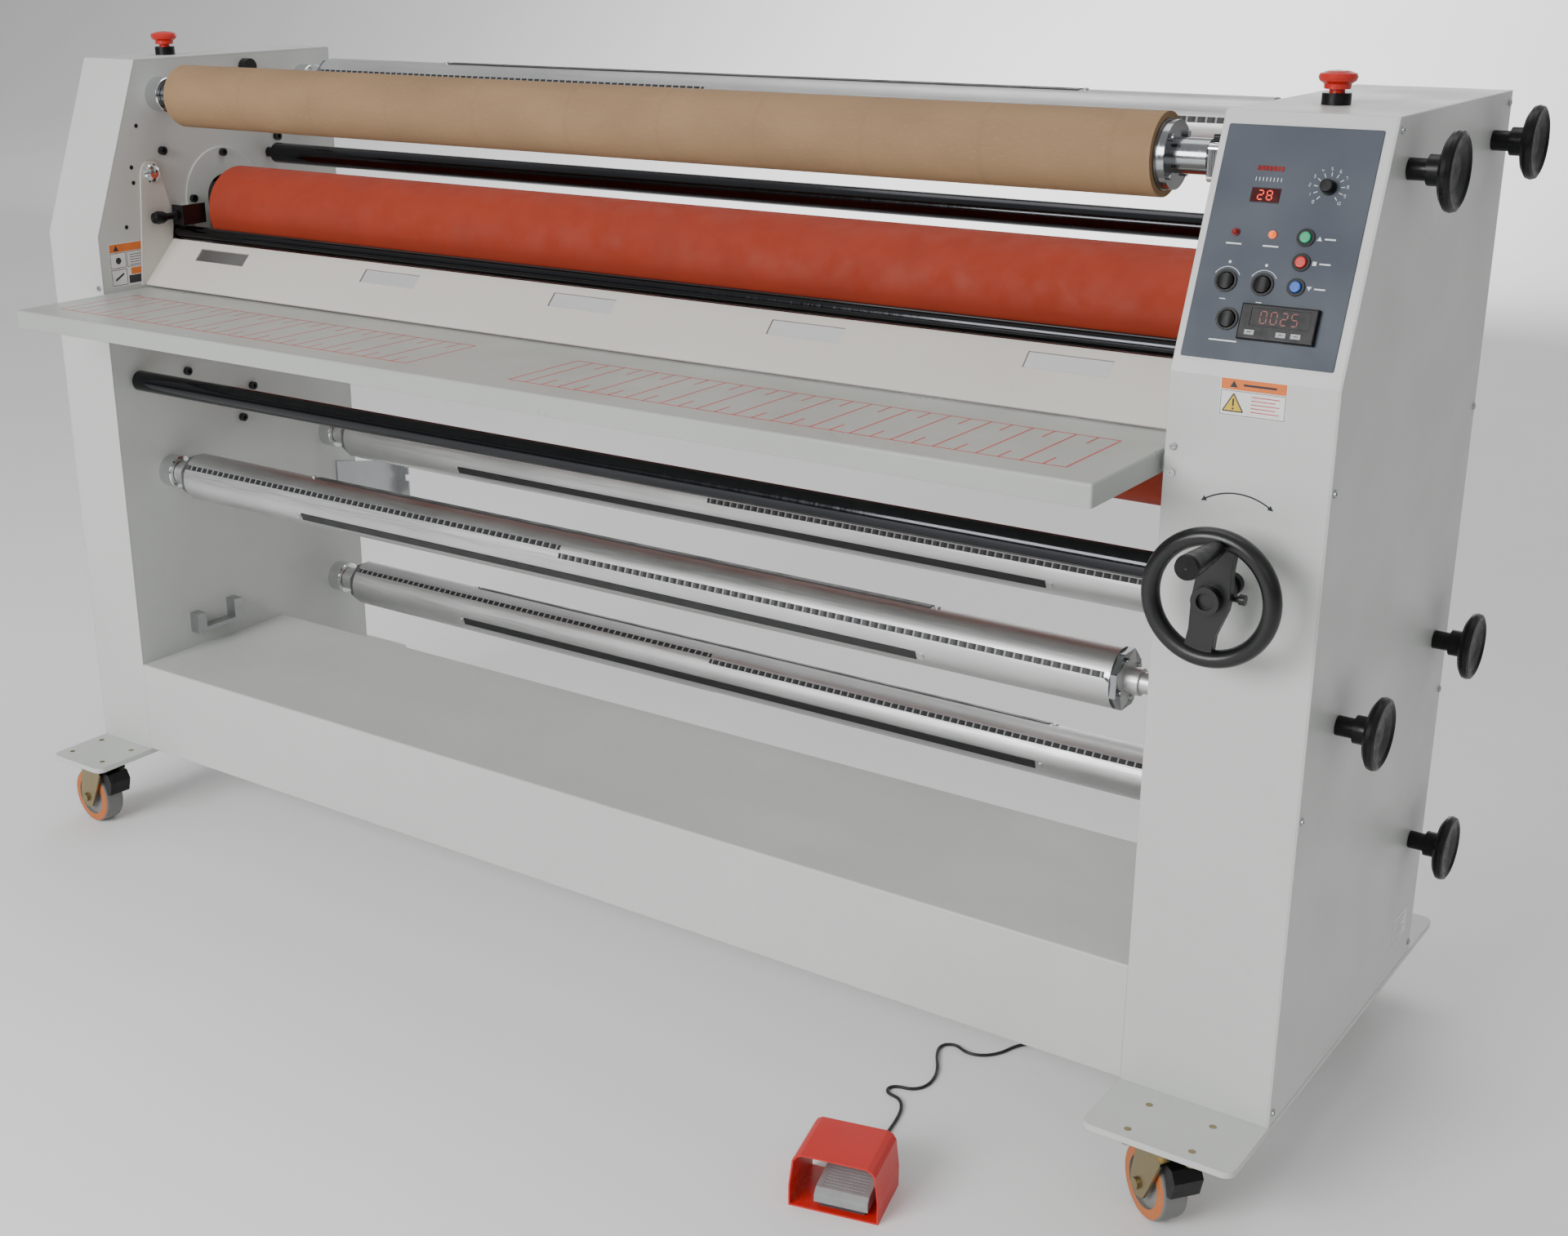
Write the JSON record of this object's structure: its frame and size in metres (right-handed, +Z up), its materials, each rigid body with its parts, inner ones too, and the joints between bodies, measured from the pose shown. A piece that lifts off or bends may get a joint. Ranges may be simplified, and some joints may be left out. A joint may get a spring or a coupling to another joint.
{
  "type": "roll laminator",
  "caption": "Floor-standing wide roll laminator with red rubber nip rollers, crank-lifted upper roller, feed table, safety guard, winding shafts, control panel, casters and a foot switch",
  "frame": {"origin": "on the floor under the middle of the machine's outline, the cord left out", "axes": "+X along the rollers towards the control cabinet, +Y from the operator to the back, +Z up"},
  "size_m": [2.054, 0.8746, 1.2388],
  "materials": {
    "cabinet_paint": "satin",
    "table_paint": "satin",
    "guard_paint": "satin",
    "panel_paint": "satin",
    "red_rubber": "matte",
    "core_steel": "brushed",
    "chrome": "polished",
    "shaft_aluminium": "satin",
    "machined_steel": "satin",
    "black_plastic": "matte",
    "black_metal": "satin",
    "card": "matte",
    "idler_dark": "polished",
    "stop_red": "gloss",
    "green_plastic": "gloss",
    "red_plastic": "gloss",
    "blue_plastic": "gloss",
    "zinc_steel": "satin",
    "orange_tyre": "matte",
    "foot_red": "satin",
    "foot_grey": "matte",
    "cord_black": "matte"
  },
  "bodies": {
    "frame": {"side_plates": "cabinet_paint", "cabinet_shells": "cabinet_paint", "side_covers": "cabinet_paint", "base_frame": "cabinet_paint", "feed_table": "table_paint", "shaft_bearings": "chrome", "shaft_rests": "zinc_steel", "fasteners": "black_metal", "gearmotor": "black_metal", "control_panel": "panel_paint", "electrical_fittings": "black_plastic", "caster_plates": "zinc_steel", "foot_guard": "foot_red", "foot_switch_base": "black_plastic", "cord_to_coil": "cord_black", "cord_coil": "cord_black", "cord_to_switch": "cord_black"},
    "lift": {"lift_blocks": "machined_steel"},
    "upper_roller": {"upper_roller_sleeve": "red_rubber", "upper_roller_core": "core_steel"},
    "lower_roller": {"lower_roller_sleeve": "red_rubber", "lower_roller_core": "core_steel"},
    "cross_shaft": {"lift_cross_shaft": "machined_steel"},
    "handwheel": {"handwheel": "black_metal"},
    "grip": {"handwheel_grip": "black_plastic"},
    "supply": {"supply_shaft": "core_steel", "card_tube": "card"},
    "guard": {"guard_panel": "guard_paint", "guard_arms": "guard_paint"},
    "guard_bar": {"guard_bar": "chrome"},
    "plunger": {"guard_plunger": "black_plastic"},
    "shaft_rear_upper": {"shaft_rear_upper": "shaft_aluminium"},
    "shaft_rear_middle": {"shaft_rear_middle": "shaft_aluminium"},
    "shaft_front_lower": {"shaft_front_lower": "shaft_aluminium"},
    "shaft_rear_lower": {"shaft_rear_lower": "shaft_aluminium"},
    "idler_rear_upper": {"idler_rear_upper": "idler_dark"},
    "idler_front_lower": {"idler_front_lower": "chrome"},
    "tension_knob_supply": {"tension_knob_supply": "black_plastic"},
    "tension_knob_rear_upper": {"tension_knob_rear_upper": "black_plastic"},
    "tension_knob_rear_middle": {"tension_knob_rear_middle": "black_plastic"},
    "tension_knob_front_lower": {"tension_knob_front_lower": "black_plastic"},
    "tension_knob_rear_lower": {"tension_knob_rear_lower": "black_plastic"},
    "stop_button_right": {"stop_button_right": "stop_red"},
    "stop_button_left": {"stop_button_left": "stop_red"},
    "button_green": {"button_green": "green_plastic"},
    "button_red": {"button_red": "red_plastic"},
    "button_blue": {"button_blue": "blue_plastic"},
    "rocker_power": {"rocker_power": "black_plastic"},
    "rocker_mode": {"rocker_mode": "black_plastic"},
    "rocker_heat": {"rocker_heat": "black_plastic"},
    "speed_knob": {"speed_knob": "black_plastic"},
    "caster_fork_front_right": {"caster_fork_front_right": "zinc_steel"},
    "caster_wheel_front_right": {"caster_wheel_front_right": "orange_tyre"},
    "caster_fork_front_left": {"caster_fork_front_left": "zinc_steel"},
    "caster_wheel_front_left": {"caster_wheel_front_left": "orange_tyre"},
    "caster_fork_rear_right": {"caster_fork_rear_right": "zinc_steel"},
    "caster_wheel_rear_right": {"caster_wheel_rear_right": "orange_tyre"},
    "caster_fork_rear_left": {"caster_fork_rear_left": "zinc_steel"},
    "caster_wheel_rear_left": {"caster_wheel_rear_left": "orange_tyre"},
    "treadle": {"foot_treadle": "foot_grey"}
  },
  "joints": [
    {"name": "roller_lift", "type": "slide", "parent": "frame", "child": "lift", "axis": [0, 0, 1], "range_m": [-0.0386, 0]},
    {"name": "upper_roller_spin", "type": "hinge", "parent": "lift", "child": "upper_roller", "pos_m": [-0.0495, 0.0843, 0.972], "axis": [1, 0, 0], "continuous": true},
    {"name": "lower_roller_spin", "type": "hinge", "parent": "frame", "child": "lower_roller", "pos_m": [-0.0495, 0.0843, 0.803], "axis": [1, 0, 0], "continuous": true},
    {"name": "cross_shaft_turn", "type": "hinge", "parent": "frame", "child": "cross_shaft", "pos_m": [-0.0495, 0.2023, 0.789], "axis": [1, 0, 0], "range_deg": [0, 122.9]},
    {"name": "handwheel_turn", "type": "hinge", "parent": "frame", "child": "handwheel", "pos_m": [0.8845, -0.2227, 0.741], "axis": [0, 1, 0], "range_deg": [0, 737.3]},
    {"name": "grip_spin", "type": "hinge", "parent": "handwheel", "child": "grip", "pos_m": [0.89243, -0.2457, 0.79744], "axis": [0, 1, 0], "continuous": true},
    {"name": "supply_spin", "type": "hinge", "parent": "frame", "child": "supply", "pos_m": [-0.0495, -0.0247, 1.151], "axis": [1, 0, 0], "continuous": true},
    {"name": "shaft_rear_upper_spin", "type": "hinge", "parent": "frame", "child": "shaft_rear_upper", "pos_m": [-0.0495, 0.2713, 1.154], "axis": [1, 0, 0], "continuous": true},
    {"name": "shaft_rear_middle_spin", "type": "hinge", "parent": "frame", "child": "shaft_rear_middle", "pos_m": [-0.0495, 0.2753, 0.569], "axis": [1, 0, 0], "continuous": true},
    {"name": "shaft_front_lower_spin", "type": "hinge", "parent": "frame", "child": "shaft_front_lower", "pos_m": [-0.0495, -0.0677, 0.573], "axis": [1, 0, 0], "continuous": true},
    {"name": "shaft_rear_lower_spin", "type": "hinge", "parent": "frame", "child": "shaft_rear_lower", "pos_m": [-0.0495, 0.2733, 0.306], "axis": [1, 0, 0], "continuous": true},
    {"name": "idler_rear_upper_spin", "type": "hinge", "parent": "frame", "child": "idler_rear_upper", "pos_m": [-0.0495, 0.1873, 1.047], "axis": [1, 0, 0], "continuous": true},
    {"name": "idler_front_lower_spin", "type": "hinge", "parent": "frame", "child": "idler_front_lower", "pos_m": [-0.0495, -0.1177, 0.728], "axis": [1, 0, 0], "continuous": true},
    {"name": "tension_knob_supply_turn", "type": "hinge", "parent": "frame", "child": "tension_knob_supply", "pos_m": [1.0165, -0.0247, 1.151], "axis": [1, 0, 0], "range_deg": [0, 540]},
    {"name": "tension_knob_rear_upper_turn", "type": "hinge", "parent": "frame", "child": "tension_knob_rear_upper", "pos_m": [1.0165, 0.2713, 1.154], "axis": [1, 0, 0], "range_deg": [0, 540]},
    {"name": "tension_knob_rear_middle_turn", "type": "hinge", "parent": "frame", "child": "tension_knob_rear_middle", "pos_m": [1.0165, 0.2753, 0.569], "axis": [1, 0, 0], "range_deg": [0, 540]},
    {"name": "tension_knob_front_lower_turn", "type": "hinge", "parent": "frame", "child": "tension_knob_front_lower", "pos_m": [1.0165, -0.0677, 0.573], "axis": [1, 0, 0], "range_deg": [0, 540]},
    {"name": "tension_knob_rear_lower_turn", "type": "hinge", "parent": "frame", "child": "tension_knob_rear_lower", "pos_m": [1.0165, 0.2733, 0.306], "axis": [1, 0, 0], "range_deg": [0, 540]},
    {"name": "guard_swing", "type": "hinge", "parent": "frame", "child": "guard", "pos_m": [-0.0495, -0.0557, 1.0365], "axis": [-1, 0, 0], "range_deg": [0, 75]},
    {"name": "guard_bar_spin", "type": "hinge", "parent": "guard", "child": "guard_bar", "pos_m": [-0.0495, -0.0127, 0.944], "axis": [1, 0, 0], "continuous": true},
    {"name": "plunger_pull", "type": "slide", "parent": "guard", "child": "plunger", "axis": [0, -1, 0], "range_m": [0, 0.014], "stiffness_N_per_m": 300, "springref_m": -0.004},
    {"name": "stop_button_right_press", "type": "slide", "parent": "frame", "child": "stop_button_right", "axis": [0, 0, -1], "range_m": [0, 0.0035], "stiffness_N_per_m": 1500, "springref_m": -0.002},
    {"name": "stop_button_left_press", "type": "slide", "parent": "frame", "child": "stop_button_left", "axis": [0, 0, -1], "range_m": [0, 0.0035], "stiffness_N_per_m": 1500, "springref_m": -0.002},
    {"name": "button_green_press", "type": "slide", "parent": "frame", "child": "button_green", "axis": [0, 0.9325, -0.3612], "range_m": [0, 0.003], "stiffness_N_per_m": 400, "springref_m": -0.002},
    {"name": "button_red_press", "type": "slide", "parent": "frame", "child": "button_red", "axis": [0, 0.9325, -0.3612], "range_m": [0, 0.003], "stiffness_N_per_m": 400, "springref_m": -0.002},
    {"name": "button_blue_press", "type": "slide", "parent": "frame", "child": "button_blue", "axis": [0, 0.9325, -0.3612], "range_m": [0, 0.003], "stiffness_N_per_m": 400, "springref_m": -0.002},
    {"name": "rocker_power_tip", "type": "hinge", "parent": "frame", "child": "rocker_power", "pos_m": [0.8386, -0.12717, 1.04157], "axis": [1, 0, 0], "range_deg": [-8, 8]},
    {"name": "rocker_mode_tip", "type": "hinge", "parent": "frame", "child": "rocker_mode", "pos_m": [0.8765, -0.12738, 1.04101], "axis": [1, 0, 0], "range_deg": [-8, 8]},
    {"name": "rocker_heat_tip", "type": "hinge", "parent": "frame", "child": "rocker_heat", "pos_m": [0.8481, -0.14085, 1.00623], "axis": [1, 0, 0], "range_deg": [-8, 8]},
    {"name": "speed_knob_turn", "type": "hinge", "parent": "frame", "child": "speed_knob", "pos_m": [0.9219, -0.0966, 1.13708], "axis": [0, -0.9325, 0.3612], "range_deg": [-135, 135]},
    {"name": "caster_swivel_front_right", "type": "hinge", "parent": "frame", "child": "caster_fork_front_right", "pos_m": [0.8875, -0.2227, 0.1], "axis": [0, 0, 1], "continuous": true},
    {"name": "caster_roll_front_right", "type": "hinge", "parent": "caster_fork_front_right", "child": "caster_wheel_front_right", "pos_m": [0.87073, -0.21006, 0.0445], "axis": [-0.6018, -0.7986, 0], "continuous": true},
    {"name": "caster_swivel_front_left", "type": "hinge", "parent": "frame", "child": "caster_fork_front_left", "pos_m": [-0.9605, -0.2142, 0.1], "axis": [0, 0, 1], "continuous": true},
    {"name": "caster_roll_front_left", "type": "hinge", "parent": "caster_fork_front_left", "child": "caster_wheel_front_left", "pos_m": [-0.98142, -0.21237, 0.0445], "axis": [-0.0872, -0.9962, 0], "continuous": true},
    {"name": "caster_swivel_rear_right", "type": "hinge", "parent": "frame", "child": "caster_fork_rear_right", "pos_m": [0.8875, 0.3843, 0.1], "axis": [0, 0, 1], "continuous": true},
    {"name": "caster_roll_rear_right", "type": "hinge", "parent": "caster_fork_rear_right", "child": "caster_wheel_rear_right", "pos_m": [0.86712, 0.38938, 0.0445], "axis": [-0.2419, -0.9703, 0], "continuous": true},
    {"name": "caster_swivel_rear_left", "type": "hinge", "parent": "frame", "child": "caster_fork_rear_left", "pos_m": [-0.9605, 0.3843, 0.1], "axis": [0, 0, 1], "continuous": true},
    {"name": "caster_roll_rear_left", "type": "hinge", "parent": "caster_fork_rear_left", "child": "caster_wheel_rear_left", "pos_m": [-0.9813, 0.38138, 0.0445], "axis": [0.1392, -0.9903, 0], "continuous": true},
    {"name": "treadle_press", "type": "hinge", "parent": "frame", "child": "treadle", "pos_m": [0.5684, -0.36033, 0.0125], "axis": [0.9697, 0.2445, 0], "range_deg": [0, 5], "stiffness_Nm_per_rad": 4, "springref_deg": -6.88}
  ],
  "couplings": [
    {"joint": "cross_shaft_turn", "follows": "roller_lift", "rad_per_m": -55.556},
    {"joint": "handwheel_turn", "follows": "roller_lift", "rad_per_m": -333.33}
  ]
}
